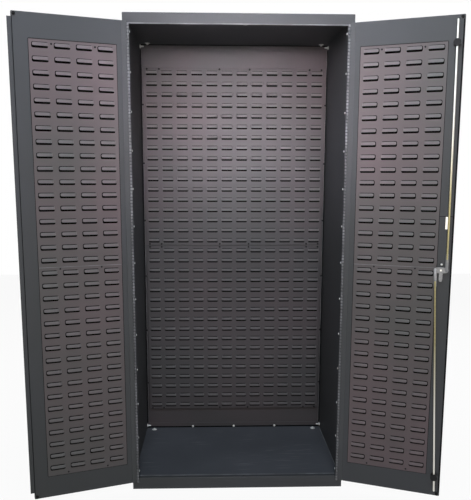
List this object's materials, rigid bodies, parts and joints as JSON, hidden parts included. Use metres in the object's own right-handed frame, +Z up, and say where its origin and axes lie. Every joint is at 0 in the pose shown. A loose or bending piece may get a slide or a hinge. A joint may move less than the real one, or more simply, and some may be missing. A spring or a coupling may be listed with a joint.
{
  "type": "bin cabinet",
  "caption": "Tall sheet-steel bin cabinet with hinged double doors, louvred panels on the back wall and inside the doors for hanging bins, and a rod lock worked by a lever handle.",
  "frame": {"origin": "middle of the cabinet's footprint on the floor, on the underside of the floor channel", "axes": "+Z up, the doors' side faces -Y, +X to the right of someone who looks into the open cabinet"},
  "size_m": [1.6992, 0.7879, 1.9812],
  "materials": {
    "charcoal_paint": "charcoal powder coat, satin",
    "bright_zinc": "bright zinc plate",
    "yellow_zinc": "yellow zinc plate",
    "black_rubber": "matt",
    "black_plastic": "moulded",
    "chrome_plate": "polished"
  },
  "bodies": {
    "cabinet": {"left_side_panel": "charcoal_paint", "right_side_panel": "charcoal_paint", "back_panel": "charcoal_paint", "top_panel": "charcoal_paint", "bottom_panel": "charcoal_paint", "floor_channel": "charcoal_paint", "lower_back_louver_panel": "charcoal_paint", "upper_back_louver_panel": "charcoal_paint", "left_hinge_frame_leaf": "charcoal_paint", "right_hinge_frame_leaf": "charcoal_paint", "left_hinge_pin": "bright_zinc", "right_hinge_pin": "bright_zinc"},
    "left_door": {"left_door_pan": "charcoal_paint", "left_door_lower_louver_panel": "charcoal_paint", "left_door_upper_louver_panel": "charcoal_paint", "left_hinge_door_leaf": "charcoal_paint", "left_door_bumpers": "black_rubber", "meeting_strip": "charcoal_paint"},
    "right_door": {"right_door_pan": "charcoal_paint", "right_door_lower_louver_panel": "charcoal_paint", "right_door_upper_louver_panel": "charcoal_paint", "right_hinge_door_leaf": "charcoal_paint", "right_door_bumpers": "black_rubber", "stiffener_clip": "bright_zinc"},
    "lock": {"lock_handle": "chrome_plate", "lock_spindle": "bright_zinc", "lock_cam": "bright_zinc", "cam_screw": "bright_zinc"},
    "key": {"key_plug": "chrome_plate"},
    "upper_guide": {"upper_rod_guide": "black_plastic"},
    "upper_rod": {"upper_lock_rod": "yellow_zinc"},
    "lower_guide": {"lower_rod_guide": "black_plastic"},
    "lower_rod": {"lower_lock_rod": "yellow_zinc"}
  },
  "joints": [
    {"name": "left_door_swing", "type": "hinge", "parent": "cabinet", "child": "left_door", "pos_m": [-0.4342, -0.3097, 1], "axis": [0, 0, 1], "range_deg": [-7, 160.6]},
    {"name": "right_door_swing", "type": "hinge", "parent": "cabinet", "child": "right_door", "pos_m": [0.4342, -0.3097, 1], "axis": [0, 0, -1], "range_deg": [-9, 158.3]},
    {"name": "lock_turn", "type": "hinge", "parent": "right_door", "child": "lock", "pos_m": [0.79768, -0.45434, 0.986], "axis": [-0.3697, -0.9291, 0], "range_deg": [0, 90]},
    {"name": "key_turn", "type": "hinge", "parent": "lock", "child": "key", "pos_m": [0.79768, -0.45434, 0.986], "axis": [0.3697, 0.9291, 0], "range_deg": [0, 90]},
    {"name": "upper_guide_swivel", "type": "hinge", "parent": "right_door", "child": "upper_guide", "pos_m": [0.81161, -0.45989, 1.8452], "axis": [0.3697, 0.9291, 0], "range_deg": [0, 1.5]},
    {"name": "upper_rod_slide", "type": "slide", "parent": "upper_guide", "child": "upper_rod", "axis": [-0.0071, 0.0028, 1], "range_m": [0, 0.0218]},
    {"name": "lower_guide_swivel", "type": "hinge", "parent": "right_door", "child": "lower_guide", "pos_m": [0.81254, -0.46026, 0.12], "axis": [0.3697, 0.9291, 0], "range_deg": [0, 1.5]},
    {"name": "lower_rod_slide", "type": "slide", "parent": "lower_guide", "child": "lower_rod", "axis": [0.0403, -0.016, -0.9991], "range_m": [0, 0.0226]}
  ],
  "couplings": [
    {"joint": "upper_guide_swivel", "follows": "lock_turn", "ratio": 0.01629},
    {"joint": "upper_rod_slide", "follows": "lock_turn", "m_per_rad": 0.013682},
    {"joint": "lower_guide_swivel", "follows": "lock_turn", "ratio": 0.015562},
    {"joint": "lower_rod_slide", "follows": "lock_turn", "m_per_rad": 0.014174}
  ]
}
